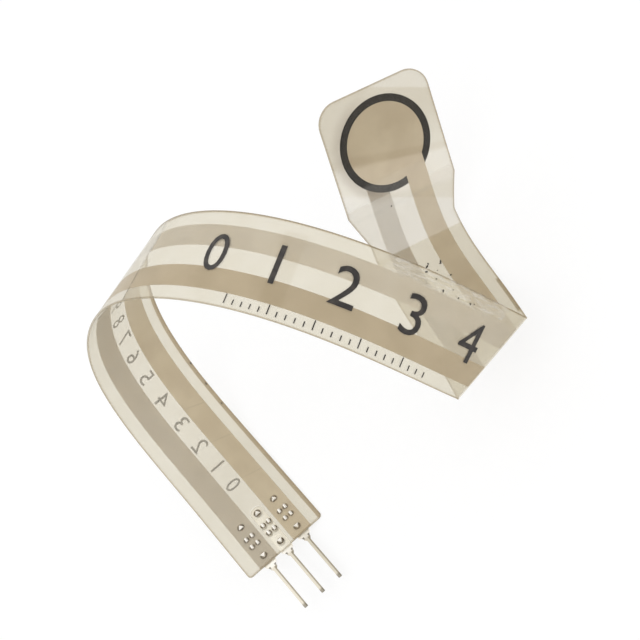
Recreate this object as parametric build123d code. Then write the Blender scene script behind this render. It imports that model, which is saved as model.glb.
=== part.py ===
from build123d import *
import os
from math import cos, sin, radians, sqrt

# Thin film force sensing strip: two polyester films bonded face to face by a layer of adhesive,
# a silver trace and disc on the inner side of each film, pressure sensing ink over both discs,
# and three crimped terminals. Millimetres, Z up, origin on the floor below the middle of the part.

os.makedirs("parts", exist_ok=True)

# Flat pattern of the strip, measured from the tail end
LENGTH = 152.4
WIDTH = 11.0
HEAD_WIDTH = 14.0
HEAD_SIDE = 13.5
SHOULDER = 4.0
HEAD_CORNER = 2.6
TAIL_CORNER = 0.5
TAIL_FLAT = 9.0

# Layers, measured from the outside of the back film towards the front
FILM = 0.076
BOND = 0.051
SILVER = 0.0125
THICK = 2 * FILM + BOND

# Traces and sensing area
PITCH = 2.54
TRACE_OFF = PITCH
TRACE_WIDTH = 2.6
DISC_BACK = 7.0
DISC_D = 9.53
INK_D = 11.24

# Curl of the strip: distance from the tail end, degrees of bend in each millimetre
CURL_TAIL = [
    (9.0, 0.0),
    (17.0, -3.33),
    (25.0, -5.18),
    (33.0, -4.01),
    (41.0, -2.23),
    (49.0, -1.42),
    (57.0, -1.99),
    (65.0, -2.12),
    (73.0, -2.25),
    (81.0, -2.53),
    (89.0, -2.79),
    (97.0, -2.86),
    (108.2, -2.82),
]
CREASE_AT = 108.2
CREASE_ANGLE = -54.4
CREASE_RADIUS = 1.0
CREASE_RUN = CREASE_RADIUS * radians(-CREASE_ANGLE)
CREASE_EASE = 2.5
WIDEN_EASE = 1.5
HEAD_FROM = LENGTH - HEAD_SIDE
CURL_HEAD = [
    (CREASE_AT + CREASE_RUN, 0.5),
    (115.0, -0.8),
    (121.0, -2.65),
    (127.0, -5.18),
    (133.0, -7.31),
    (HEAD_FROM, 0.0),
]
# Lean of the bend lines: millimetres along the strip for each millimetre across it
LEAN = [
    (9.0, 0.0),
    (17.0, 0.2),
    (33.0, 0.222),
    (49.0, 0.415),
    (65.0, 0.216),
    (81.0, 0.172),
    (97.0, 0.352),
    (CREASE_AT, 0.357),
    (CREASE_AT + CREASE_RUN, 0.357),
    (124.0, 0.531),
    (HEAD_FROM, 0.0),
]

# How the tail end lies on the floor: heading and roll in degrees, its long edge is level
HEADING = 73.8
ROLL = -160.96

# Terminals: a crimp bar on the front of the tail, six tines through the strip, a square pin
BAR_WIDTH = 1.6
BAR_LENGTH = 7.7
BAR_END_RADIUS = 0.7
SHEET = 0.2
NECK_WIDTH = 0.9
NECK_SHOULDER = 0.2
NECK_FROM = 0.6
NECK_TO = 0.85
NECK_LENGTH = 1.2
PIN = 0.46
PIN_LENGTH = 7.0
PIN_BITE = 0.1
PIN_TIP = 0.12
TINE = 0.2
TINE_SPACING = 1.35
TINE_SPREAD = 0.84
CURL_RADIUS = 0.17
CURL_LENGTH = 0.55
POINT_START = 1.2
POINT_END = 1.05
POINT_ROWS = (POINT_START, BAR_LENGTH - POINT_END)
TINE_MIDDLE = sum(POINT_ROWS) / 2
TINE_ROWS = (TINE_MIDDLE - TINE_SPACING / 2, TINE_MIDDLE + TINE_SPACING / 2)
POINT_LENGTH = 0.55
POINT_WIDTH = 0.64
POINT_DEPTH = 0.14


def between(table, s):
    for (s0, v0), (s1, v1) in zip(table, table[1:]):
        if s0 <= s <= s1:
            return v0 + (v1 - v0) * (s - s0) / (s1 - s0)
    return 0.0


def bend(s):
    """Bend in radians for each millimetre at distance s from the tail end."""
    if s < CREASE_AT:
        return radians(between(CURL_TAIL, s))
    if s < CREASE_AT + CREASE_RUN:
        return radians(CREASE_ANGLE) / CREASE_RUN
    return radians(between(CURL_HEAD, s))


def turn(v, axis, angle):
    return v * cos(angle) + axis.cross(v) * sin(angle) + axis * (axis.dot(v) * (1 - cos(angle)))


def step(frame, s, h):
    """Carry the frame (place, along, across, outward) of the sheet by h along the strip."""
    place, along, across, out = frame
    k = bend(s + h / 2)
    t = k * between(LEAN, s + h / 2)
    rate = sqrt(k * k + t * t)
    if rate < 1e-9:
        return (place + along * h, along, across, out)
    axis = (along * -t + across * -k) * (1 / rate)
    angle = rate * h
    side = axis.cross(along) * ((1 - cos(angle)) / rate)
    moved = along * (sin(angle) / rate) + side + axis * (axis.dot(along) * (h - sin(angle) / rate))
    return (place + moved, turn(along, axis, angle), turn(across, axis, angle), turn(out, axis, angle))


def first_frame():
    along = Vector(cos(radians(HEADING)), sin(radians(HEADING)), 0)
    level = Vector(-along.Y, along.X, 0)
    across = turn(level, along, radians(ROLL))
    return (Vector(0, 0, 0), along, across, along.cross(across))


def spans():
    """Stations along the curled part of the strip: start, end, number of steps."""
    after = CREASE_AT + CREASE_RUN
    shoulder = HEAD_FROM - SHOULDER - WIDEN_EASE
    return [
        (TAIL_FLAT, CREASE_AT - CREASE_EASE, 24),
        (CREASE_AT - CREASE_EASE, CREASE_AT, 3),
        (CREASE_AT, after, 3),
        (after, after + CREASE_EASE, 3),
        (after + CREASE_EASE, shoulder, 6),
        (shoulder, HEAD_FROM, 6),
    ]


def walk():
    tail = first_frame()
    frame = step(tail, 0.0, TAIL_FLAT)
    s = TAIL_FLAT
    rows = [(s, frame)]
    for start, end, count in spans():
        gap = (end - start) / count
        parts = 16
        for n in range(count):
            for m in range(parts):
                frame = step(frame, start + n * gap + m * gap / parts, gap / parts)
            s = start + (n + 1) * gap
            rows.append((s, frame))
    return tail, rows


TAIL_FRAME, ROWS = walk()
TAIL_PLANE = Plane(origin=TAIL_FRAME[0], x_dir=TAIL_FRAME[1], z_dir=TAIL_FRAME[3])
HEAD_FRAME = ROWS[-1][1]
HEAD_PLANE = Plane(origin=HEAD_FRAME[0], x_dir=HEAD_FRAME[1], z_dir=HEAD_FRAME[3])


def half_width(u):
    start = HEAD_FROM - SHOULDER
    if u <= start:
        return WIDTH / 2
    grow = min(1.0, (u - start) / SHOULDER)
    return WIDTH / 2 + grow * (HEAD_WIDTH - WIDTH) / 2


def edge_across(side, s):
    """Where the bend line at s meets the cut edge of the strip."""
    lean = between(LEAN, s)
    t = side * WIDTH / 2
    for _ in range(12):
        t = side * half_width(s + t * lean)
    return t


def corner_at(corner, row):
    across, height = corner
    s, (place, along, over, out) = row
    if across == "left":
        across = edge_across(-1, s)
    elif across == "right":
        across = edge_across(1, s)
    return place + (over + along * between(LEAN, s)) * across + out * height


def ribbon(corners):
    """Solid that follows the curled strip; corners are (across, height) of its section."""
    stations = [s for s, _ in ROWS]
    rails = []
    for corner in corners:
        points = [corner_at(corner, row) for row in ROWS]
        rails.append(Edge.make_spline(points, parameters=stations))
    faces = [Face.make_surface_from_curves(a, b) for a, b in zip(rails, rails[1:] + rails[:1])]
    for row in (ROWS[0], ROWS[-1]):
        faces.append(Face(Wire.make_polygon([corner_at(c, row) for c in corners], close=True)))
    return Solid(Shell(faces))


def slab(outline, low, high):
    return extrude(Pos(0, 0, low) * outline, high - low)


def tail_outline():
    sheet = Pos(TAIL_FLAT / 2, 0) * Rectangle(TAIL_FLAT, WIDTH)
    return fillet(sheet.vertices().sort_by(Axis.X)[:2], TAIL_CORNER)


def head_outline():
    sheet = Pos(HEAD_SIDE / 2, 0) * Rectangle(HEAD_SIDE, HEAD_WIDTH)
    return fillet(sheet.vertices().sort_by(Axis.X)[-2:], HEAD_CORNER)


def disc(diameter, low, high):
    return slab(Pos(HEAD_SIDE - DISC_BACK, 0) * Circle(diameter / 2), low, high)


def trace_flat(offset, length, low, high):
    return slab(Pos(length / 2, offset) * Rectangle(length, TRACE_WIDTH), low, high)


def posts(offset):
    """The six tines where they pass through the strip."""
    spots = [(x, t) for x in TINE_ROWS for t in (-TINE_SPREAD / 2, TINE_SPREAD / 2)]
    spots += [(x, 0) for x in POINT_ROWS]
    square = Rectangle(TINE, TINE)
    return Part() + [slab(Pos(x, offset + t) * square, 0, THICK) for x, t in spots]


def crimp_bar():
    """Flat bar of the terminal and the neck that narrows to the pin."""
    bar = Pos(BAR_LENGTH / 2, 0) * Rectangle(BAR_LENGTH, BAR_WIDTH)
    bar = fillet(bar.vertices().sort_by(Axis.X)[-2:], BAR_END_RADIUS)
    stops = (0, NECK_SHOULDER, NECK_FROM, NECK_TO, NECK_LENGTH)
    widths = (BAR_WIDTH, BAR_WIDTH, NECK_WIDTH, NECK_WIDTH, PIN)
    side = [(-x, width / 2) for x, width in zip(stops, widths)]
    other_side = [(x, -y) for x, y in reversed(side)]
    neck = make_face(Polyline(*side, *other_side, close=True))
    return slab(bar + neck, THICK, THICK + SHEET)


def pin():
    length = PIN_LENGTH + PIN_BITE
    shaft = Pos(PIN_BITE - NECK_LENGTH - length / 2, 0, THICK + SHEET / 2) * Box(length, PIN, PIN)
    return chamfer(shaft.faces().sort_by(Axis.X)[0].edges(), PIN_TIP)


def curled_tines():
    """Tine ends on the back of the strip: four rolled ones and two folded points."""
    half_round = make_face(
        [Line((-CURL_RADIUS, 0), (CURL_RADIUS, 0)), CenterArc((0, 0), CURL_RADIUS, 180, 180)]
    )
    roll = extrude(Plane.YZ * half_round, CURL_LENGTH / 2, both=True)
    ends = [Pos(x, t, 0) * roll for x in TINE_ROWS for t in (-TINE_SPREAD / 2, TINE_SPREAD / 2)]
    for x, way in zip(POINT_ROWS, (-1, 1)):
        tip, foot = way * POINT_LENGTH / 2, -way * POINT_LENGTH / 2
        mark = make_face(Polyline((tip, 0), (foot, POINT_WIDTH / 2), (foot, -POINT_WIDTH / 2), close=True))
        ends.append(slab(Pos(x, 0) * mark, -POINT_DEPTH, 0))
    return ends


def terminal(offset):
    body = crimp_bar() + pin() + curled_tines()
    return Pos(0, offset, 0) * body + posts(offset)


OFFSETS = {"left_terminal": -PITCH, "centre_terminal": 0.0, "right_terminal": PITCH}
ALL_POSTS = Part() + [posts(offset) for offset in OFFSETS.values()]
INNER = FILM
OUTER = FILM + BOND
MIDDLE = FILM + BOND / 2
TRACE_NEAR = TRACE_OFF - TRACE_WIDTH / 2
TRACE_FAR = TRACE_OFF + TRACE_WIDTH / 2


def joined(curved, tail, head):
    """One solid from the curled middle and its two flat ends."""
    return Part() + curved + TAIL_PLANE * tail + HEAD_PLANE * head


def film(low, high):
    lines = ("left", -TRACE_FAR, -TRACE_NEAR, TRACE_NEAR, TRACE_FAR, "right")
    curved = ribbon([(t, low) for t in lines] + [(t, high) for t in reversed(lines)])
    tail = slab(tail_outline(), low, high) - ALL_POSTS
    return joined(curved, tail, slab(head_outline(), low, high))


def conductor(side, low, high):
    offset = side * TRACE_OFF
    near, far = sorted((side * TRACE_NEAR, side * TRACE_FAR))
    curved = ribbon([(near, low), (far, low), (far, high), (near, high)])
    tail = trace_flat(offset, TAIL_FLAT, low, high) - ALL_POSTS
    return joined(curved, tail, head_conductor(side, low, high))


def head_conductor(side, low, high):
    lead = trace_flat(side * TRACE_OFF, HEAD_SIDE - DISC_BACK, low, high)
    return lead + disc(DISC_D, low, high)


def adhesive():
    back_top = INNER + SILVER
    front_low = OUTER - SILVER
    section = [
        ("left", INNER),
        (-TRACE_FAR, INNER),
        (-TRACE_NEAR, INNER),
        (TRACE_NEAR, INNER),
        (TRACE_NEAR, back_top),
        (TRACE_FAR, back_top),
        (TRACE_FAR, INNER),
        ("right", INNER),
        ("right", OUTER),
        (TRACE_FAR, OUTER),
        (TRACE_NEAR, OUTER),
        (-TRACE_NEAR, OUTER),
        (-TRACE_NEAR, front_low),
        (-TRACE_FAR, front_low),
        (-TRACE_FAR, OUTER),
        ("left", OUTER),
    ]
    tail = slab(tail_outline(), INNER, OUTER) - ALL_POSTS
    tail -= trace_flat(TRACE_OFF, TAIL_FLAT, INNER, back_top)
    tail -= trace_flat(-TRACE_OFF, TAIL_FLAT, front_low, OUTER)
    head = slab(head_outline(), INNER, OUTER) - disc(INK_D, INNER, OUTER)
    head -= head_conductor(1, INNER, back_top)
    head -= head_conductor(-1, front_low, OUTER)
    return joined(ribbon(section), tail, head)


pieces = {
    "back_film": film(0, INNER),
    "front_film": film(OUTER, THICK),
    "adhesive_layer": adhesive(),
    "back_conductor": conductor(1, INNER, INNER + SILVER),
    "front_conductor": conductor(-1, OUTER - SILVER, OUTER),
    "back_ink": HEAD_PLANE * (disc(INK_D, INNER, MIDDLE) - head_conductor(1, INNER, INNER + SILVER)),
    "front_ink": HEAD_PLANE * (disc(INK_D, MIDDLE, OUTER) - head_conductor(-1, OUTER - SILVER, OUTER)),
}
for name, offset in OFFSETS.items():
    pieces[name] = TAIL_PLANE * terminal(offset)

box = Compound([solid for piece in pieces.values() for solid in piece.solids()]).bounding_box(optimal=True)
to_floor = Pos(-box.center().X, -box.center().Y, -box.min.Z)
for name, piece in pieces.items():
    export_step(to_floor * piece, "parts/" + name + ".step")
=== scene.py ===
import bisect
import math

import bmesh
import bpy
from mathutils import Matrix, Quaternion, Vector


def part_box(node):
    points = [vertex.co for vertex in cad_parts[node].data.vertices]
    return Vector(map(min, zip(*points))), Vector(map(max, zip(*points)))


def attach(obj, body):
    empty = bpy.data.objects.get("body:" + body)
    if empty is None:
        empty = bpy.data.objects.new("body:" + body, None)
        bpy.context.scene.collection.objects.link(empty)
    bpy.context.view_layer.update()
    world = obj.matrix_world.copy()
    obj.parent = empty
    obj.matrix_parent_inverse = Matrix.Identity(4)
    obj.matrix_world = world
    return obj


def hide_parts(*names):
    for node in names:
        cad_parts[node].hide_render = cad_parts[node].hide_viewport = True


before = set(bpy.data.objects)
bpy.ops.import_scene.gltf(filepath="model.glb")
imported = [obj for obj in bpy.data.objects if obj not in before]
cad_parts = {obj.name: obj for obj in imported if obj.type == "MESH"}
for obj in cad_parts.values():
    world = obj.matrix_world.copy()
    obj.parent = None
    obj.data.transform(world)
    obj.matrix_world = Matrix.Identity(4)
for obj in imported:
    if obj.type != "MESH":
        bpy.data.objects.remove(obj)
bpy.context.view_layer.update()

# The strip as the part has it, in millimetres along it and across it
MM = 0.001
LENGTH = 152.4
WIDTH = 11.0
HEAD_WIDTH = 14.0
HEAD_SIDE = 13.5
HEAD_FROM = LENGTH - HEAD_SIDE
SHOULDER = 4.0
HEAD_CORNER = 2.6
TAIL_CORNER = 0.5
TAIL_FLAT = 9.0
FILM = 0.076
BOND = 0.051
THICK = 2 * FILM + BOND
SILVER = 0.0125
GAP = 0.002
PITCH = 2.54
TRACE_WIDTH = 2.6
TRACE_NEAR = PITCH - TRACE_WIDTH / 2
TRACE_FAR = PITCH + TRACE_WIDTH / 2
DISC_BACK = 7.0
DISC_D = 9.53
BAR_WIDTH = 1.6
BAR_LENGTH = 7.7
BAR_END_RADIUS = 0.7
TINE_MIDDLE = 3.925
PAIR_OFF = 0.675
POINT_OFF = 2.725
TINE_SIDE = 0.42
# Painted shade in rings round the tines: radius, half of the line's width and its soft edge
PAIR_SHADE_RING = (0.29, 0.04, 0.07)
POINT_SHADE_RING = (0.36, 0.06, 0.08)
CURL_TAIL = [
    (9.0, 0.0),
    (17.0, -3.33),
    (25.0, -5.18),
    (33.0, -4.01),
    (41.0, -2.23),
    (49.0, -1.42),
    (57.0, -1.99),
    (65.0, -2.12),
    (73.0, -2.25),
    (81.0, -2.53),
    (89.0, -2.79),
    (97.0, -2.86),
    (108.2, -2.82),
]
CREASE_AT = 108.2
CREASE_ANGLE = -54.4
CREASE_RUN = math.radians(-CREASE_ANGLE)
CREASE_END = CREASE_AT + CREASE_RUN
CURL_HEAD = [
    (CREASE_END, 0.5),
    (115.0, -0.8),
    (121.0, -2.65),
    (127.0, -5.18),
    (133.0, -7.31),
    (HEAD_FROM, 0.0),
]
LEAN = [
    (9.0, 0.0),
    (17.0, 0.2),
    (33.0, 0.222),
    (49.0, 0.415),
    (65.0, 0.216),
    (81.0, 0.172),
    (97.0, 0.352),
    (CREASE_AT, 0.357),
    (CREASE_END, 0.357),
    (124.0, 0.531),
    (HEAD_FROM, 0.0),
]
HEADING = 73.8
ROLL = -160.96

# Camera of the photograph, in metres
CAMERA_PLACE = (-0.00075, -0.19561, 0.20707)
CAMERA_AIM = (0.00021, -0.00309, 0.01415)
CAMERA_ROLL = -65.81
LENS = 139.1

# Places of marks on the flat strip: along it, across it, or both
# Painted light on the film past the neck
NECK_TONE = (132.9, 133.3)
LIFTED = (48.0, 60.8)
# Painted shade over the head's leg, taken back past the slant near the neck
PAINTED_DARK_LEG = (111.0, 133.0)
NECK_SLANT = (138.68, -0.455)
# Painted shade on the head, and painted light past the slant at its end
HEAD_SHADE = (141.0, 148.0)
HEAD_SLANT = (152.28, -0.433)
# A painted dark reflection on the middle leg
DARK_REFLECTION_PATCH = (80.7, 83.0, -3.8, 4.2)
# A painted dark reflection band across the disc, and a painted lighter reflection below it
DISC_REFLECTION_BAND = (143.65, 144.15)
DISC_SHEEN = (139.6, 143.0)
# A soft dark halo outside the disc's ring
HALO_FROM, HALO_TO = 5.6, 7.2
EDGE_BAND_WIDE, EDGE_BAND_THIN = 0.50, 0.14
DARK_EDGE = (113.8, 123.0)
CRACK_AT, CRACK_SLOPE = 60.9, 0.06
CRAZED = (92.0, 106.5, 4.1, 5.3)
NECK_HAZE = (133.2, 138.4)
NECK_MILK = (133.2, 139.6)
RING_HAZE = (138.4, 141.4)
TRACE_CRACKS = (24.6, 19.4, 12.8)
PINCH_AT = -0.74
TIP_FROM, TIP_TO = -7.6, -8.1
SOFT_EDGE = 0.09


def between(table, s):
    for (s0, v0), (s1, v1) in zip(table, table[1:]):
        if s0 <= s <= s1:
            return v0 + (v1 - v0) * (s - s0) / (s1 - s0)
    return 0.0


def bend(s):
    if s < CREASE_AT:
        return math.radians(between(CURL_TAIL, s))
    if s < CREASE_END:
        return -1.0
    return math.radians(between(CURL_HEAD, s))


def carried(axes, h, s):
    """The frame (place, along, across, outward) of the sheet, carried on by h from s."""
    place, along, across, out = axes
    k = bend(s + h / 2)
    t = k * between(LEAN, s + h / 2)
    rate = math.hypot(k, t)
    if rate < 1e-9:
        return (place + along * h, along, across, out)
    axis = (along * -t - across * k) / rate
    angle = rate * h
    turn = Quaternion(axis, angle)
    side = axis.cross(along) * ((1 - math.cos(angle)) / rate)
    ahead = math.sin(angle) / rate
    moved = along * ahead + side + axis * (axis.dot(along) * (h - ahead))
    return (place + moved, turn @ along, turn @ across, turn @ out)


def walk_stops():
    """Distances at which the strip's frame is kept; the crease's two ends are among them."""
    found = [0.0]
    for start, end, gap in (
        (0.0, TAIL_FLAT, 1.0),
        (TAIL_FLAT, CREASE_AT, 0.1),
        (CREASE_AT, CREASE_END, 0.02),
        (CREASE_END, HEAD_FROM, 0.1),
        (HEAD_FROM, LENGTH + 20, 1.0),
    ):
        count = math.ceil((end - start) / gap)
        found += [start + (end - start) * n / count for n in range(1, count + 1)]
    return found


class Strip:
    """Maps the flat strip (along, across, height) in millimetres to its curled place."""

    def __init__(self):
        heading = math.radians(HEADING)
        along = Vector((math.cos(heading), math.sin(heading), 0))
        level = Vector((-along.y, along.x, 0))
        across = Quaternion(along, math.radians(ROLL)) @ level
        axes = (Vector((0, 0, 0)), along, across, along.cross(across))
        self.stops = walk_stops()
        self.frames = [axes]
        for start, end in zip(self.stops, self.stops[1:]):
            axes = carried(axes, end - start, start)
            self.frames.append(axes)
        self.shift = Vector((0, 0, 0))

    def axes_at(self, s):
        if s < 0:
            place, along, across, out = self.frames[0]
            return (place + along * s, along, across, out)
        n = min(bisect.bisect_right(self.stops, s) - 1, len(self.stops) - 2)
        return carried(self.frames[n], s - self.stops[n], self.stops[n])

    def at_ruling(self, s, t, h):
        place, along, across, out = self.axes_at(s)
        return (place + (across + along * between(LEAN, s)) * t + out * h + self.shift) * MM

    def at(self, u, t, h):
        s = u
        for _ in range(16):
            s = u - t * between(LEAN, s)
        return self.at_ruling(s, t, h)


strip = Strip()


def half_width(u):
    grow = (u - HEAD_FROM + SHOULDER) / SHOULDER
    return WIDTH / 2 + min(1.0, max(0.0, grow)) * (HEAD_WIDTH - WIDTH) / 2


def edge_across(side, s):
    t = side * WIDTH / 2
    for _ in range(12):
        t = side * half_width(s + t * between(LEAN, s))
    return t


def corner(cx, ct, radius, start, count=10):
    """Points of a quarter circle in the flat pattern, from start degrees on."""
    angles = [math.radians(start + 90 * n / count) for n in range(count + 1)]
    return [(cx + radius * math.cos(a), ct + radius * math.sin(a)) for a in angles]


class FilmOutline:
    """The whole strip: edges, rounded tail corners, shoulders and rounded head corners."""

    def edges(self, s):
        return edge_across(-1, s), edge_across(1, s)

    def tail(self):
        w = WIDTH / 2
        points = corner(TAIL_CORNER, w - TAIL_CORNER, TAIL_CORNER, 90)
        return points + corner(TAIL_CORNER, TAIL_CORNER - w, TAIL_CORNER, 180)

    def head(self):
        far, near = LENGTH - HEAD_CORNER, HEAD_WIDTH / 2 - HEAD_CORNER
        return corner(far, -near, HEAD_CORNER, 270) + corner(far, near, HEAD_CORNER, 0)


class TraceOutline:
    """One trace with the round electrode at its head end."""

    def __init__(self, side):
        self.low, self.high = sorted((side * TRACE_NEAR, side * TRACE_FAR))

    def edges(self, s):
        return self.low, self.high

    def tail(self):
        return [(0.0, self.high), (0.0, self.low)]

    def head(self):
        radius = DISC_D / 2
        first, last = (math.atan2(t, -math.sqrt(radius**2 - t**2)) for t in (self.low, self.high))
        while last < first:
            last += 2 * math.pi
        angles = [first + (last - first) * n / 64 for n in range(65)]
        return [(LENGTH - DISC_BACK + radius * math.cos(a), radius * math.sin(a)) for a in angles]


def stations():
    """Distances of the bend lines that the mesh follows, closer together in the crease."""
    found = []
    for start, end, gap in (
        (TAIL_FLAT, CREASE_AT - 2, 0.7),
        (CREASE_AT - 2, CREASE_END + 2, 0.1),
        (CREASE_END + 2, HEAD_FROM, 0.5),
    ):
        count = math.ceil((end - start) / gap)
        found += [start + (end - start) * n / count for n in range(count)]
    return found + [HEAD_FROM]


LINES = stations()
# No bend line reaches further along than this from its place on the middle line
MOST_LEAN = 4.0


def new_mesh_object(name, build, materials):
    mesh = bpy.data.meshes.new(name)
    shape = bmesh.new()
    build(shape)
    bmesh.ops.recalc_face_normals(shape, faces=shape.faces)
    shape.to_mesh(mesh)
    shape.free()
    for material in materials:
        mesh.materials.append(material)
    piece = bpy.data.objects.new(name, mesh)
    bpy.context.scene.collection.objects.link(piece)
    return piece


OUTER, EDGE, INNER = 0, 1, 2


def sheet_builder(outline, low, high, outer_is_high):
    """Closed sheet between two heights, as a curled strip: outer face, cut edge, inner face."""

    def build(shape):
        pattern = shape.loops.layers.uv.new("pattern")
        flat_of = {}

        def vertex(u, t, place):
            v = shape.verts.new(place)
            flat_of[v] = (u / LENGTH, t / HEAD_WIDTH + 0.5)
            return v

        def face(corners, material, smooth=True):
            made = shape.faces.new(corners)
            made.material_index = material
            made.smooth = smooth
            for loop in made.loops:
                loop[pattern].uv = flat_of[loop.vert]

        loops = []
        for h in (low, high):
            kind = OUTER if (h == high) == outer_is_high else INNER
            rungs = []
            for s in LINES:
                ends = [(s + t * between(LEAN, s), t, strip.at_ruling(s, t, h)) for t in outline.edges(s)]
                rungs.append([vertex(*end) for end in ends])
            tail = [vertex(u, t, strip.at(u, t, h)) for u, t in outline.tail()]
            head = [vertex(u, t, strip.at(u, t, h)) for u, t in outline.head()]
            for a, b in zip(rungs, rungs[1:]):
                face((a[0], a[1], b[1], b[0]), kind)
            face([rungs[0][1]] + tail + [rungs[0][0]], kind)
            face([rungs[-1][0]] + head + [rungs[-1][1]], kind)
            loops.append([r[0] for r in rungs] + head + [r[1] for r in reversed(rungs)] + tail)
        below, above = loops
        for n in range(len(below)):
            m = (n + 1) % len(below)
            face((below[n], below[m], above[m], above[n]), EDGE, False)
            for rim in (below, above):
                shape.edges.get((rim[n], rim[m])).smooth = False

    return build


# Materials

class Nodes:
    """Short ways to add shader nodes."""

    def __init__(self, tree):
        self.tree = tree

    def add(self, kind, inputs=(), **settings):
        node = self.tree.nodes.new(kind)
        for key, value in settings.items():
            setattr(node, key, value)
        for key, value in dict(inputs).items():
            self.plug(node.inputs[key], value)
        return node

    def plug(self, socket, value):
        if isinstance(value, bpy.types.NodeSocket):
            self.tree.links.new(value, socket)
        else:
            socket.default_value = value

    def math(self, operation, a, b=0.0, c=0.0):
        node = self.add("ShaderNodeMath", operation=operation)
        for socket, value in zip(node.inputs, (a, b, c)):
            self.plug(socket, value)
        return node.outputs[0]

    def ramp(self, value, low, high, at_low=0.0, at_high=1.0):
        """A smooth step from at_low, where value is low, to at_high, where it is high."""
        inputs = {"Value": value, "From Min": low, "From Max": high, "To Min": at_low, "To Max": at_high}
        node = self.add("ShaderNodeMapRange", inputs, interpolation_type="SMOOTHSTEP", clamp=True)
        return node.outputs["Result"]

    def ramp_line(self, value, low, high, at_low, at_high):
        inputs = {"Value": value, "From Min": low, "From Max": high, "To Min": at_low, "To Max": at_high}
        return self.add("ShaderNodeMapRange", inputs, clamp=True).outputs["Result"]

    def band(self, value, centre, half, soft):
        """1 within half of centre, falling to 0 over soft."""
        away = self.math("ABSOLUTE", self.math("SUBTRACT", value, centre))
        return self.ramp(away, half, half + soft, 1.0, 0.0)

    def span(self, value, ends, soft):
        """1 from one end to the other, falling to 0 over soft."""
        low, high = ends
        return self.band(value, (low + high) / 2, (high - low) / 2, soft)

    def mix(self, factor, a, b):
        """Two colours mixed: sockets 6, 7 and 2 are the node's colour sockets."""
        return self.add("ShaderNodeMix", {0: factor, 6: a, 7: b}, data_type="RGBA").outputs[2]

    def noise(self, vector, scale, detail=3.0, roughness=0.5):
        inputs = {"Vector": vector, "Scale": scale, "Detail": detail, "Roughness": roughness}
        return self.add("ShaderNodeTexNoise", inputs, noise_dimensions="3D").outputs["Fac"]

    def place(self):
        return self.add("ShaderNodeTexCoord").outputs["Object"]

    def pattern(self):
        """Distance along the strip and across it, in millimetres."""
        where = self.add("ShaderNodeUVMap", uv_map="pattern").outputs["UV"]
        split = self.add("ShaderNodeSeparateXYZ", {"Vector": where})
        along = self.math("MULTIPLY", split.outputs["X"], LENGTH)
        across = self.math("MULTIPLY_ADD", split.outputs["Y"], HEAD_WIDTH, -HEAD_WIDTH / 2)
        return along, across

    def combine(self, x, y, z=0.0):
        return self.add("ShaderNodeCombineXYZ", {"X": x, "Y": y, "Z": z}).outputs["Vector"]

    def blend(self, share, first, second):
        """Two shaders mixed: share is how much of the second shows."""
        return self.add("ShaderNodeMixShader", {0: share, 1: first, 2: second}).outputs[0]

    def output(self, shader):
        self.add("ShaderNodeOutputMaterial", {"Surface": shader})


def node_material(name):
    """A new material, empty, and the short ways to fill it."""
    material = bpy.data.materials.new(name)
    material.use_nodes = True
    material.node_tree.nodes.clear()
    return material, Nodes(material.node_tree)


def colour(r, g, b):
    """A colour as the screen shows it, 0 to 255, as linear values."""
    linear = [((c / 255 + 0.055) / 1.055) ** 2.4 for c in (r, g, b)]
    return (*linear, 1.0)


PLASTIC_INDEX = 1.45
GLOSS_SHARE = 0.35
WINDOW_GLOSS_LOSS = 0.95
ADHESIVE_VEIL = 0.45
FILM_TINT = (0.935, 0.918, 0.866, 1.0)
FILM_DARK = (0.885, 0.86, 0.795, 1.0)
# Painted shade on the head's film, and painted light where the film shows lighter
FILM_HEAD_SHADE = (0.858, 0.832, 0.768, 1.0)
FILM_LIGHT = (0.985, 0.98, 0.96, 1.0)
FILM_VEIL = (0.90, 0.88, 0.83, 1.0)
# Painted dark reflection and painted lighter reflection over the disc
DISC_REFLECTION_TINT = (0.80, 0.76, 0.68, 1.0)
DISC_SHEEN_TINT = (1.0, 0.985, 0.96, 1.0)
# A soft dark halo outside the ring
HALO_TINT = (0.62, 0.58, 0.53, 1.0)
WINDOW_TINT = (1.0, 1.0, 0.99, 1.0)
# Painted shade round the tines
TINE_SHADE_TINT = (0.20, 0.165, 0.125, 1.0)
RIM_TINT = (0.60, 0.53, 0.41, 1.0)
# Brown of the edge band, painted for the darker look of a curled edge
BAND_TINT = (0.58, 0.49, 0.35, 1.0)
CRACK_TINT = (0.16, 0.14, 0.12, 1.0)


def corner_reach(n, short_side, short_end):
    """How far a point lies past the middle of a rounded corner."""
    x = n.math("MAXIMUM", short_side, 0.0)
    y = n.math("MAXIMUM", short_end, 0.0)
    return n.math("SQRT", n.math("MULTIPLY_ADD", x, x, n.math("MULTIPLY", y, y)))


def edge_distance(n, along, across):
    """Millimetres from a point of the pattern to the cut outline, with its rounded corners."""
    grow = n.ramp_line(along, HEAD_FROM - SHOULDER, HEAD_FROM, WIDTH / 2, HEAD_WIDTH / 2)
    side = n.math("SUBTRACT", grow, n.math("ABSOLUTE", across))
    end = n.math("MINIMUM", along, n.math("SUBTRACT", LENGTH, along))
    at_head = n.math("GREATER_THAN", along, LENGTH / 2)
    radius = n.math("MULTIPLY_ADD", at_head, HEAD_CORNER - TAIL_CORNER, TAIL_CORNER)
    short_side = n.math("SUBTRACT", radius, side)
    short_end = n.math("SUBTRACT", radius, end)
    reach = corner_reach(n, short_side, short_end)
    inside = n.math("MINIMUM", n.math("MAXIMUM", short_side, short_end), 0.0)
    return n.math("SUBTRACT", n.math("SUBTRACT", radius, reach), inside)


def beyond_line(n, along, across, line, soft):
    """1 on the head's side of a slanting line across the strip, 0 on the tail's side."""
    at_middle, slope = line
    past = n.math("SUBTRACT", along, n.math("MULTIPLY_ADD", across, slope, at_middle))
    return n.ramp(past, -soft, soft)


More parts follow.
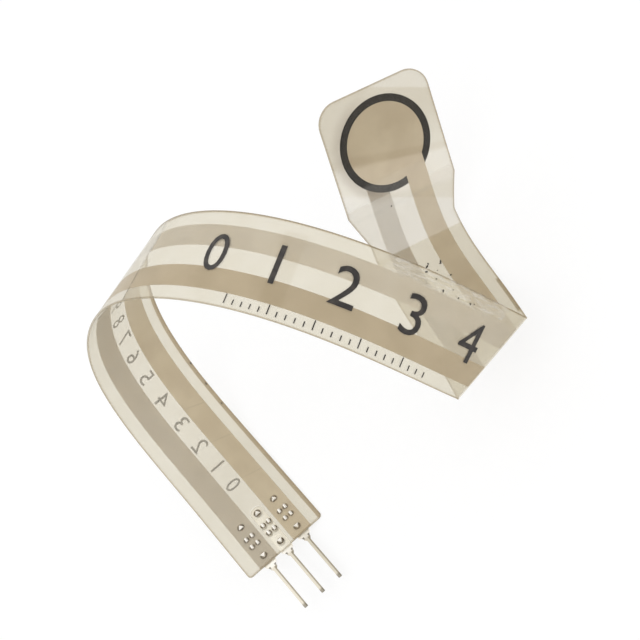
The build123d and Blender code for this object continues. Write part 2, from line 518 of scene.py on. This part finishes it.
def in_zone(n, along, across, zone, soft=0.3):
    """1 inside a box of the pattern: (along from, to, across from, to)."""
    lengthwise = n.span(along, zone[:2], soft)
    crosswise = n.span(across, zone[2:], soft)
    return n.math("MULTIPLY", lengthwise, crosswise)


def distance_to(n, x, y, x0, y0):
    dx = n.math("SUBTRACT", x, x0)
    dy = n.math("SUBTRACT", y, y0)
    return n.math("SQRT", n.math("MULTIPLY_ADD", dx, dx, n.math("MULTIPLY", dy, dy)))


def tine_shade_rings(n, along, across):
    """Painted shade: dark rings on the back film round the six tines of each terminal, where the tines'
    curls shade it.
    """
    x = n.math("ABSOLUTE", n.math("SUBTRACT", along, TINE_MIDDLE))
    t = n.math("PINGPONG", n.math("ADD", across, 4 * PITCH), PITCH / 2)
    pair = n.band(distance_to(n, x, t, PAIR_OFF, TINE_SIDE), *PAIR_SHADE_RING)
    point = n.band(distance_to(n, x, t, POINT_OFF, 0.0), *POINT_SHADE_RING)
    aside = n.math("ABSOLUTE", across)
    fainter_outside = n.ramp(aside, PITCH / 2 - 0.07, PITCH / 2 + 0.03, 1.0, 0.6)
    on_terminals = n.ramp(aside, 1.5 * PITCH - 0.11, 1.5 * PITCH - 0.01, 1.0, 0.0)
    strength = n.math("MULTIPLY", fainter_outside, on_terminals)
    return n.math("MULTIPLY", n.math("MAXIMUM", pair, point), strength)


def bar_window(n, along, across):
    """Where the bare middle terminal shows bright through the films."""
    inside = n.math("SUBTRACT", BAR_WIDTH / 2, n.math("ABSOLUTE", across))
    end = n.math("SUBTRACT", BAR_LENGTH, along)
    short_side = n.math("SUBTRACT", BAR_END_RADIUS, inside)
    short_end = n.math("SUBTRACT", BAR_END_RADIUS, end)
    reach = corner_reach(n, short_side, short_end)
    return n.ramp(n.math("SUBTRACT", BAR_END_RADIUS, reach), -0.02, 0.05)


def painted_reflection_tones(n, along, across):
    """Tint of the film, a little mottled, with painted reflection and painted shade where its tone steps
    from one stretch of the strip to the next.
    """
    flat = n.combine(along, across)
    mottle = n.ramp(n.noise(flat, 0.35, 4.0, 0.6), 0.35, 0.7)
    tint = n.mix(n.math("MULTIPLY", mottle, 0.25), FILM_TINT, FILM_DARK)
    # Painted light past the neck and over the stretch where the adhesive has lifted
    painted_light_neck = n.math("MULTIPLY", n.ramp(along, *NECK_TONE), 0.9)
    painted_light_bend = n.math("MULTIPLY", n.span(along, LIFTED, 0.15), 0.6)
    tint = n.mix(n.math("MAXIMUM", painted_light_neck, painted_light_bend), tint, FILM_LIGHT)
    # Painted shade over the head's leg, taken back past the slant near the neck
    tint = n.mix(n.span(along, PAINTED_DARK_LEG, 0.15), tint, FILM_DARK)
    above_neck = beyond_line(n, along, across, NECK_SLANT, 0.12)
    tint = n.mix(n.math("MULTIPLY", above_neck, 0.85), tint, FILM_TINT)
    # Painted shade on the head, and painted light past the slant at its end
    tint = n.mix(n.ramp(along, *HEAD_SHADE), tint, FILM_HEAD_SHADE)
    head_end = beyond_line(n, along, across, HEAD_SLANT, 0.1)
    tint = n.mix(n.math("MULTIPLY", head_end, 0.4), tint, FILM_LIGHT)
    # A painted dark reflection patch on the middle leg
    patch = n.math("MULTIPLY", in_zone(n, along, across, DARK_REFLECTION_PATCH), 0.6)
    return n.mix(patch, tint, FILM_DARK)


def round_the_disc(n, along, across, tint):
    """Painted reflection across the disc, a dark band and a lighter part, and a soft dark halo outside
    the dark ring.
    """
    # Painted dark reflection band across the disc
    in_band = n.span(n.math("MULTIPLY_ADD", across, 0.25, along), DISC_REFLECTION_BAND, 0.5)
    tint = n.mix(n.math("MULTIPLY", in_band, 0.35), tint, DISC_REFLECTION_TINT)
    # Painted lighter reflection over the lower part of the disc
    lower_disc = n.span(n.math("MULTIPLY_ADD", across, 0.2, along), DISC_SHEEN, 0.6)
    tint = n.mix(n.math("MULTIPLY", lower_disc, 0.6), tint, DISC_SHEEN_TINT)
    # A soft dark halo outside the ring, on one side only
    from_disc = distance_to(n, along, across, LENGTH - DISC_BACK, 0.0)
    outside = n.ramp(from_disc, HALO_FROM - 0.15, HALO_FROM)
    spread = n.math("MULTIPLY", outside, n.ramp(from_disc, HALO_FROM, HALO_TO, 0.55, 0.0))
    dark_halo = n.math("MULTIPLY", spread, n.ramp(across, -4.0, 0.0, 1.0, 0.0))
    return n.mix(dark_halo, tint, HALO_TINT)


def edge_tones(n, along, across, tint, is_back):
    """The brown band along one edge, the dark stretch of the head's leg and the darker rim."""
    # The brown band paints the darker look of a curled edge, seen through more film, with its painted
    # reflection
    reach = n.ramp(along, 38.0, 52.0, EDGE_BAND_WIDE, EDGE_BAND_THIN)
    from_edge = n.math("SUBTRACT", WIDTH / 2, across)
    in_band = n.ramp(n.math("SUBTRACT", from_edge, reach), -0.04, 0.04, 1.0, 0.0)
    in_band = n.math("MULTIPLY", in_band, n.ramp(along, 90.0, 96.0, 1.0, 0.35))
    in_band = n.math("MULTIPLY", in_band, n.ramp(along, 126.0, 132.0, 1.0, 0.0))
    tint = n.mix(n.math("MULTIPLY", in_band, 0.75 if is_back else 0.3), tint, BAND_TINT)
    near_edge = n.ramp(from_edge, 0.35, 0.45, 0.8, 0.0)
    dark_edge = n.math("MULTIPLY", n.span(along, DARK_EDGE, 0.6), near_edge)
    tint = n.mix(dark_edge, tint, RIM_TINT)
    rim = n.ramp(edge_distance(n, along, across), 0.10, 0.21, 0.5, 0.0)
    return n.mix(rim, tint, RIM_TINT)


def crease_crack(n, along, across, tint):
    """The fine broken line across the middle leg."""
    dashes = n.ramp(n.noise(n.combine(0.0, across), 2.2, 2.0), 0.42, 0.50)
    slanted = n.math("MULTIPLY_ADD", across, CRACK_SLOPE, along)
    crack = n.math("MULTIPLY", n.band(slanted, CRACK_AT, 0.03, 0.05), dashes)
    return n.mix(n.math("MULTIPLY", crack, 0.85), tint, CRACK_TINT)


def film_haze(n, along, across, is_back):
    """How milky the film is: streaks near the crease, and a little at the neck and over the ring."""
    streaks = n.noise(n.combine(n.math("MULTIPLY", along, 0.22), across), 3.0, 4.0, 0.65)
    crazed = n.ramp(streaks, 0.40, 0.62)
    crazed = n.math("MULTIPLY", crazed, in_zone(n, along, across, CRAZED, 0.6))
    haze = n.math("MULTIPLY", crazed, 0.0 if is_back else 0.30)
    haze = n.math("ADD", n.math("MULTIPLY", n.span(along, NECK_HAZE, 0.4), 0.05), haze)
    over_ring = n.math("MULTIPLY", n.span(along, RING_HAZE, 0.7), 0.07 if is_back else 0.0)
    return n.math("ADD", n.math("ADD", haze, over_ring), 0.012)


def film_face(name, is_back):
    """Outer face of a film: clear, faintly warm, a little milky, with a soft gloss."""
    material, n = node_material(name)
    along, across = n.pattern()
    # The tint carries painted reflection and painted shade
    tint = painted_reflection_tones(n, along, across)
    if is_back:
        tint = round_the_disc(n, along, across, tint)
    tint = edge_tones(n, along, across, tint, is_back)
    window = bar_window(n, along, across)
    tint = n.mix(window, tint, WINDOW_TINT)
    if is_back:
        # Painted shade round the tines
        rings = n.math("MULTIPLY", tine_shade_rings(n, along, across), n.ramp(along, 7.2, 7.6, 0.9, 0.0))
        tint = n.mix(rings, tint, TINE_SHADE_TINT)
    else:
        tint = crease_crack(n, along, across, tint)
    haze = film_haze(n, along, across, is_back)
    haze = n.math("MULTIPLY", haze, n.math("SUBTRACT", 1.0, window))
    clear = n.add("ShaderNodeBsdfTransparent", {"Color": tint})
    veil = n.add("ShaderNodeBsdfDiffuse", {"Color": FILM_VEIL})
    milky = n.blend(haze, clear.outputs[0], veil.outputs[0])
    gloss = n.add("ShaderNodeBsdfGlossy", {"Roughness": 0.2})
    far_side = n.add("ShaderNodeNewGeometry").outputs["Backfacing"]
    index = n.math("MULTIPLY_ADD", far_side, 1 / PLASTIC_INDEX - PLASTIC_INDEX, PLASTIC_INDEX)
    facing = n.add("ShaderNodeFresnel", {"IOR": index})
    share = n.math("MULTIPLY_ADD", window, -WINDOW_GLOSS_LOSS * GLOSS_SHARE, GLOSS_SHARE)
    share = n.math("MULTIPLY", facing.outputs[0], share)
    n.output(n.blend(share, milky, gloss.outputs[0]))
    return material


def film_edge():
    """Cut edge of a film: light gathers in it, so it looks darker and denser."""
    material, n = node_material("film_cut_edge")
    grain = n.noise(n.place(), 900.0, 2.0)
    shade = n.mix(grain, colour(150, 138, 112), colour(182, 170, 144))
    solid = n.add("ShaderNodeBsdfPrincipled", {"Base Color": shade, "Roughness": 0.35})
    clear = n.add("ShaderNodeBsdfTransparent", {"Color": (0.86, 0.83, 0.76, 1.0)})
    n.output(n.blend(0.72, clear.outputs[0], solid.outputs[0]))
    return material


def clear_inside(name):
    material, n = node_material(name)
    cloud = n.noise(n.place(), 300.0, 2.0)
    tint = n.mix(cloud, (1.0, 1.0, 1.0, 1.0), (0.985, 0.98, 0.965, 1.0))
    n.output(n.add("ShaderNodeBsdfTransparent", {"Color": tint}).outputs[0])
    return material


def milky_adhesive():
    """Middle of the bond: it softens and lightens what lies behind it, most where it has lifted."""
    material, n = node_material("adhesive_milky")
    along, across = n.pattern()
    cloud = n.noise(n.place(), 500.0, 3.0)
    shade = n.mix(cloud, (0.93, 0.905, 0.87, 1.0), (0.88, 0.855, 0.82, 1.0))
    lifted = n.math("MULTIPLY", n.span(along, LIFTED, 0.15), 0.42)
    at_neck = n.math("MULTIPLY", n.span(along, NECK_MILK, 0.3), 0.26)
    amount = n.math("ADD", n.math("MAXIMUM", lifted, at_neck), ADHESIVE_VEIL)
    window = bar_window(n, along, across)
    amount = n.math("MULTIPLY", amount, n.math("SUBTRACT", 1.0, window))
    clear = n.add("ShaderNodeBsdfTransparent", {"Color": (1.0, 1.0, 1.0, 1.0)})
    veil = n.add("ShaderNodeBsdfDiffuse", {"Color": shade})
    n.output(n.blend(amount, clear.outputs[0], veil.outputs[0]))
    return material


def silver_ink(name, cracked, light, dark):
    """Dull printed silver: fine speckle over a slow change of tone, cracked a little on the tail."""
    material, n = node_material(name)
    place = n.place()
    along, across = n.pattern()
    slow = n.ramp(n.noise(n.combine(along, across), 0.25, 3.0), 0.35, 0.65)
    fine = n.noise(place, 2600.0, 2.0)
    shade = n.mix(slow, light, dark)
    shade = n.mix(n.math("MULTIPLY", fine, 0.10), shade, colour(130, 120, 100))
    slant = n.math("MULTIPLY_ADD", across, 0.35, along)
    cracks = 0.0
    for at in TRACE_CRACKS:
        cracks = n.math("MAXIMUM", cracks, n.band(slant, at, 0.02, 0.07))
    shade = n.mix(n.math("MULTIPLY", cracks, cracked), shade, colour(110, 100, 84))
    bump = n.add("ShaderNodeBump", {"Strength": 0.1, "Distance": 0.00002, "Height": fine})
    inputs = {"Base Color": shade, "Roughness": 0.6, "Normal": bump.outputs[0]}
    n.output(n.add("ShaderNodeBsdfPrincipled", inputs).outputs[0])
    return material


def sensing_ink():
    material, n = node_material("pressure_ink")
    place = n.place()
    slow = n.noise(place, 160.0, 3.0)
    shade = n.mix(n.ramp(slow, 0.3, 0.7), colour(26, 22, 20), colour(44, 40, 37))
    grain = n.noise(place, 4000.0, 2.0)
    rough = n.ramp(grain, 0.2, 0.8, 0.42, 0.62)
    n.output(n.add("ShaderNodeBsdfPrincipled", {"Base Color": shade, "Roughness": rough}).outputs[0])
    return material


def along_axis(n, place, start, axis):
    """Millimetres from a place of the scene along one direction."""
    away = n.add("ShaderNodeVectorMath", {0: place, 1: start}, operation="SUBTRACT")
    dot = n.add("ShaderNodeVectorMath", {0: away.outputs[0], 1: axis}, operation="DOT_PRODUCT")
    return n.math("DIVIDE", dot.outputs["Value"], MM)


def tinned_metal():
    """Bright tin plating, a little worn, darker at the pin's tip, with painted shade where its neck is
    pinched, along its right side and over the pins against the bar.
    """
    material, n = node_material("tinned_metal")
    place = n.place()
    start, lengthwise, crosswise, _ = strip.axes_at(0.0)
    position = n.add("ShaderNodeNewGeometry").outputs["Position"]
    begin = (start + strip.shift) * MM
    along = along_axis(n, position, begin, lengthwise)
    across = along_axis(n, position, begin, crosswise)
    aside = n.math("PINGPONG", n.math("ADD", across, 4 * PITCH), PITCH / 2)
    signed = n.math("WRAP", across, PITCH / 2, -PITCH / 2)
    # Painted shade where the neck is pinched, and along each pin's right side
    pinch = n.math("MULTIPLY", n.band(along, PINCH_AT, 0.14, 0.14), n.ramp(aside, 0.22, 0.33))
    shaded = n.math("MULTIPLY", n.ramp(signed, 0.03, 0.12), n.ramp(along, -1.0, -0.8, 1.0, 0.0))
    tip = n.ramp(along, TIP_TO, TIP_FROM, 0.7, 0.0)
    worn = n.noise(place, 260.0, 3.0, 0.5)
    shade = n.mix(n.ramp(worn, 0.35, 0.75), colour(253, 250, 243), colour(245, 240, 230))
    # Painted shade at the pinch, over the pins against the near-white bar that shows bright through the
    # films, and along each pin's right side
    shade = n.mix(n.math("MULTIPLY", pinch, 0.85), shade, colour(84, 74, 60))
    shade = n.mix(n.ramp(along, -1.1, -0.6, 1.0, 0.0), shade, colour(226, 219, 204))
    shade = n.mix(n.math("MULTIPLY", shaded, 0.85), shade, colour(146, 136, 114))
    shade = n.mix(tip, shade, colour(112, 104, 88))
    rough = n.ramp(worn, 0.3, 0.7, 0.26, 0.32)
    metallic = n.ramp(along, -0.3, 0.3, 0.8, 0.5)
    inputs = {"Base Color": shade, "Roughness": rough, "Metallic": metallic}
    n.output(n.add("ShaderNodeBsdfPrincipled", inputs).outputs[0])
    return material


def black_ink():
    material, n = node_material("print_ink")
    thin = n.noise(n.place(), 1500.0, 3.0)
    shade = n.mix(n.ramp(thin, 0.3, 0.8), colour(34, 30, 28), colour(66, 60, 54))
    n.output(n.add("ShaderNodeBsdfPrincipled", {"Base Color": shade, "Roughness": 0.5}).outputs[0])
    return material


# The strip's films

def bring_to_frame():
    """Moves the strip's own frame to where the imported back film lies."""
    outline = FilmOutline()
    places = []
    for h in (0.0, FILM):
        for s in LINES:
            places += [strip.at_ruling(s, t, h) for t in outline.edges(s)]
        places += [strip.at(u, t, h) for u, t in outline.tail() + outline.head()]
    own = Vector([min(place[axis] for place in places) for axis in range(3)])
    strip.shift = (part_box("back_film")[0] - own) / MM


def dress(node, material):
    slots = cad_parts[node].data.materials
    slots.clear()
    slots.append(material)


def keep(piece):
    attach(piece, "root")


def make_films(edge):
    inside = clear_inside("film_inside")
    for node, low, high, outer_is_high in (
        ("back_film", GAP, FILM, False),
        ("front_film", THICK - FILM, THICK - GAP, True),
    ):
        face = film_face(node + "_face", node == "back_film")
        build = sheet_builder(FilmOutline(), low, high, outer_is_high)
        piece = new_mesh_object(node + "_sheet", build, [face, edge, inside])
        keep(piece)
        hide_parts(node)


def make_adhesive(edge):
    low, high = FILM + BOND / 2, FILM + BOND - 2 * GAP
    faces = [milky_adhesive(), edge, clear_inside("adhesive_clear")]
    build = sheet_builder(FilmOutline(), low, high, False)
    piece = new_mesh_object("adhesive_sheet", build, faces)
    keep(piece)
    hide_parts("adhesive_layer")


def make_conductors():
    back_silver = silver_ink("back_silver", 0.15, colour(222, 210, 190), colour(213, 200, 180))
    front_silver = silver_ink("front_silver", 0.35, colour(204, 189, 166), colour(196, 181, 158))
    for node, side, low, high, outer_is_high, silver in (
        ("back_conductor", 1, FILM + GAP, FILM + SILVER, False, back_silver),
        ("front_conductor", -1, FILM + BOND - SILVER, FILM + BOND - GAP, True, front_silver),
    ):
        build = sheet_builder(TraceOutline(side), low, high, outer_is_high)
        piece = new_mesh_object(node + "_sheet", build, [silver, silver, silver])
        keep(piece)
        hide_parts(node)


def dress_nodes():
    ink = sensing_ink()
    dress("back_ink", ink)
    dress("front_ink", ink)
    metal = tinned_metal()
    for node in ("left_terminal", "centre_terminal", "right_terminal"):
        dress(node, metal)
        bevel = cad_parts[node].modifiers.new("soft_edges", "BEVEL")
        bevel.width = SOFT_EDGE * MM
        bevel.segments = 3
        bevel.limit_method = "ANGLE"
        bevel.angle_limit = math.radians(40)


# Printed numbers and small marks: millimetres on the flat strip

NUMBERS = "01234"
NUMBERS_HIGH = 4.4
NUMBERS_FROM, NUMBERS_STEP = 73.5, 7.6
NUMBERS_ACROSS = -1.7
TICKS_FROM, TICKS_STEP = 77.0, 1.0
SMALL_NUMBERS = "0123456789"
SMALL_HIGH = 2.0
SMALL_FROM, SMALL_STEP = 12.5, 3.5
SMALL_ACROSS = -1.0
TICK_COUNT, TICKS_PER_LONG = 24, 5
TICK_FOOT = -5.0
TICK_WIDTH = 0.14
TICK_LONG, TICK_SHORT = 1.1, 0.6
PRINT_THICK = 2 * GAP
SPECK_SIDES = 12
# Specks: along, across, radius, stretch and turn in degrees
BACK_MARKS = [
    (138.3, -1.64, 0.09, 1.0, 0),
    (130.15, -0.53, 0.10, 2.4, 60),
    (130.4, -0.25, 0.08, 1.6, 0),
    (129.98, 1.12, 0.09, 2.6, 25),
    (129.8, 1.0, 0.07, 2.2, 110),
    (129.2, 0.3, 0.06, 1.2, 0),
    (127.9, 1.3, 0.08, 1.8, 80),
    (126.59, -0.43, 0.08, 2.2, 130),
    (122.57, 1.2, 0.07, 1.4, 0),
    (27.99, 5.36, 0.10, 1.5, 0),
    (24.9, 5.3, 0.09, 1.8, 10),
    (21.88, 5.25, 0.09, 1.4, 0),
]
FRONT_MARKS = [
    (95.85, 5.15, 0.09, 1.8, 30),
    (97.1, 4.9, 0.06, 1.5, 90),
    (98.31, 4.06, 0.08, 2.2, 100),
    (99.3, 4.6, 0.05, 1.5, 0),
    (100.22, 4.07, 0.07, 1.6, 70),
    (101.84, 4.06, 0.07, 2.0, 95),
    (102.3, 4.2, 0.05, 1.8, 20),
]


def on_facets(u, t, h):
    """The place on the flat facets of the curled sheets, so that thin ink lies on them."""
    s = u
    for _ in range(16):
        s = u - t * between(LEAN, s)
    if s <= LINES[0] or s >= LINES[-1]:
        return strip.at(u, t, h)
    n = bisect.bisect_right(LINES, s) - 1
    part = (s - LINES[n]) / (LINES[n + 1] - LINES[n])
    return strip.at_ruling(LINES[n], t, h).lerp(strip.at_ruling(LINES[n + 1], t, h), part)


def text_flat(shape, body, u, t, high):
    """Adds a solid character to a mesh, centred at u, in flat millimetres and one unit thick."""
    curve = bpy.data.curves.new("characters", "FONT")
    curve.body = body
    curve.extrude = 0.5
    curve.resolution_u = 4
    holder = bpy.data.objects.new("characters", curve)
    bpy.context.scene.collection.objects.link(holder)
    bpy.context.view_layer.update()
    ready = holder.evaluated_get(bpy.context.evaluated_depsgraph_get())
    solid = bpy.data.meshes.new_from_object(ready)
    bpy.data.objects.remove(holder)
    low = min(v.co.y for v in solid.vertices)
    size = high / (max(v.co.y for v in solid.vertices) - low)
    sides = [v.co.x for v in solid.vertices]
    centre = (min(sides) + max(sides)) / 2
    for v in solid.vertices:
        v.co = (u + (v.co.x - centre) * size, t + (v.co.y - low) * size, v.co.z + 0.5)
    shape.from_mesh(solid)
    bpy.data.meshes.remove(solid)


def slab_flat(shape, points):
    """Adds a thin solid with the given flat outline, one unit thick."""
    rings = [[shape.verts.new((u, t, z)) for u, t in points] for z in (0.0, 1.0)]
    shape.faces.new(list(reversed(rings[0])))
    shape.faces.new(rings[1])
    for n in range(len(points)):
        m = (n + 1) % len(points)
        shape.faces.new((rings[0][n], rings[0][m], rings[1][m], rings[1][n]))


def lay_on(shape, low, high):
    """Cuts a flat mesh at the bend lines and lays it on the curled strip between two heights."""
    reach = [v.co.x for v in shape.verts]
    for s in LINES:
        if min(reach) - MOST_LEAN < s < max(reach) + MOST_LEAN:
            everything = shape.verts[:] + shape.edges[:] + shape.faces[:]
            lean = between(LEAN, s)
            across_line = (1, -lean, 0)
            bmesh.ops.bisect_plane(shape, geom=everything, plane_co=(s, 0, 0), plane_no=across_line)
    for v in shape.verts:
        v.co = on_facets(v.co.x, v.co.y, low + v.co.z * (high - low))


def make_print(ink):
    """A plain row of numbers with ticks under it, and a smaller row near the terminals."""

    def build(shape):
        for n, body in enumerate(NUMBERS):
            text_flat(shape, body, NUMBERS_FROM + NUMBERS_STEP * n, NUMBERS_ACROSS, NUMBERS_HIGH)
        for n in range(TICK_COUNT):
            u0 = TICKS_FROM + TICKS_STEP * n - TICK_WIDTH / 2
            u1 = u0 + TICK_WIDTH
            top = TICK_FOOT + (TICK_SHORT if n % TICKS_PER_LONG else TICK_LONG)
            slab_flat(shape, [(u0, TICK_FOOT), (u1, TICK_FOOT), (u1, top), (u0, top)])
        for n, body in enumerate(SMALL_NUMBERS):
            text_flat(shape, body, SMALL_FROM + SMALL_STEP * n, SMALL_ACROSS, SMALL_HIGH)
        lay_on(shape, THICK, THICK + PRINT_THICK)

    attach(new_mesh_object("number_print", build, [ink]), "root")


def speck(u, t, radius, stretch, turn):
    """Outline of a small oval, longer along its turn."""
    points = []
    c, s = math.cos(turn), math.sin(turn)
    for n in range(SPECK_SIDES):
        x = radius * stretch * math.cos(math.tau * n / SPECK_SIDES)
        y = radius * math.sin(math.tau * n / SPECK_SIDES)
        points.append((u + x * c - y * s, t + x * s + y * c))
    return points


def make_marks(ink):
    """Small dark specks on both outer faces."""

    def build(shape):
        for marks, low in ((BACK_MARKS, -PRINT_THICK), (FRONT_MARKS, THICK)):
            side = bmesh.new()
            for u, t, radius, stretch, turn in marks:
                slab_flat(side, speck(u, t, radius, stretch, math.radians(turn)))
            lay_on(side, low, low + PRINT_THICK)
            holder = bpy.data.meshes.new("marks_side")
            side.to_mesh(holder)
            side.free()
            shape.from_mesh(holder)
            bpy.data.meshes.remove(holder)

    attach(new_mesh_object("dark_specks", build, [ink]), "root")


# Floor, light and camera

FLOOR_SIZE = 3.0
FLOOR_PAPER = (0.85, 0.85, 0.85, 1.0)
FLOOR_SEEN = (0.22, 0.22, 0.22, 1.0)
FLOOR_GLOW = 0.80
WHITE = (1.0, 1.0, 1.0, 1.0)


def make_floor():
    """Pale floor: it shows white with a faint shadow and lights the strip as white paper does."""
    bpy.ops.mesh.primitive_plane_add(size=FLOOR_SIZE, location=(0, 0, 0))
    floor = bpy.context.object
    floor.name = "floor"
    material, n = node_material("white_floor")
    path = n.add("ShaderNodeLightPath")
    seen = n.math("MAXIMUM", path.outputs["Is Camera Ray"], path.outputs["Is Transmission Ray"])
    seen = n.math("MAXIMUM", seen, path.outputs["Is Glossy Ray"])
    shade = n.mix(seen, FLOOR_PAPER, FLOOR_SEEN)
    paper = n.add("ShaderNodeBsdfDiffuse", {"Color": shade})
    strength = n.math("MULTIPLY", seen, FLOOR_GLOW)
    glow = n.add("ShaderNodeEmission", {"Color": WHITE, "Strength": strength})
    both = n.add("ShaderNodeAddShader", {0: paper.outputs[0], 1: glow.outputs[0]})
    n.output(both.outputs[0])
    floor.data.materials.append(material)


def make_world():
    """Plain bright studio; what the metal mirrors has a dark card on the pins' right."""
    world = bpy.data.worlds.new("studio")
    bpy.context.scene.world = world
    world.use_nodes = True
    world.node_tree.nodes.clear()
    n = Nodes(world.node_tree)
    direction = n.add("ShaderNodeTexCoord").outputs["Generated"]
    height = n.add("ShaderNodeSeparateXYZ", {"Vector": direction}).outputs["Z"]
    path = n.add("ShaderNodeLightPath")
    light = n.ramp(height, 0.0, 0.8, 1.18, 0.84)
    aside = {0: direction, 1: strip.axes_at(0.0)[2]}
    card = n.add("ShaderNodeVectorMath", aside, operation="DOT_PRODUCT")
    mirrored = n.ramp(card.outputs["Value"], 0.15, 0.6, 1.28, 0.42)
    strength = n.mix(path.outputs["Is Glossy Ray"], light, mirrored)
    strength = n.mix(path.outputs["Is Camera Ray"], strength, WHITE)
    back = n.add("ShaderNodeBackground", {"Color": strength, "Strength": 1.0})
    n.add("ShaderNodeOutputWorld", {"Surface": back.outputs[0]})


def area_light(name, place, aim, size, power):
    data = bpy.data.lights.new(name, "AREA")
    data.shape = "SQUARE"
    data.size = size
    data.energy = power
    lamp = bpy.data.objects.new(name, data)
    bpy.context.scene.collection.objects.link(lamp)
    lamp.location = place
    lamp.rotation_mode = "QUATERNION"
    lamp.rotation_quaternion = (Vector(aim) - Vector(place)).to_track_quat("-Z", "Y")


def make_camera():
    data = bpy.data.cameras.new("camera")
    data.lens = LENS
    data.clip_start = 0.01
    data.clip_end = 20
    camera = bpy.data.objects.new("camera", data)
    bpy.context.scene.collection.objects.link(camera)
    place, aim = Vector(CAMERA_PLACE), Vector(CAMERA_AIM)
    back = (place - aim).normalized()
    right = Vector((0, 0, 1)).cross(back).normalized()
    right = Quaternion(back, math.radians(CAMERA_ROLL)) @ right
    up = back.cross(right)
    turn = Matrix((right, up, back)).transposed()
    camera.location = place
    camera.rotation_mode = "QUATERNION"
    camera.rotation_quaternion = turn.to_quaternion()
    bpy.context.scene.camera = camera


scene = bpy.context.scene
scene.view_settings.view_transform = "Standard"
scene.cycles.transparent_max_bounces = 64

bring_to_frame()
edge = film_edge()
make_films(edge)
make_adhesive(edge)
make_conductors()
ink = black_ink()
make_print(ink)
make_marks(ink)
dress_nodes()
make_floor()
make_world()
area_light("key", place=(-0.25, -0.15, 0.6), aim=(0, 0, 0.01), size=0.4, power=0.4)
make_camera()
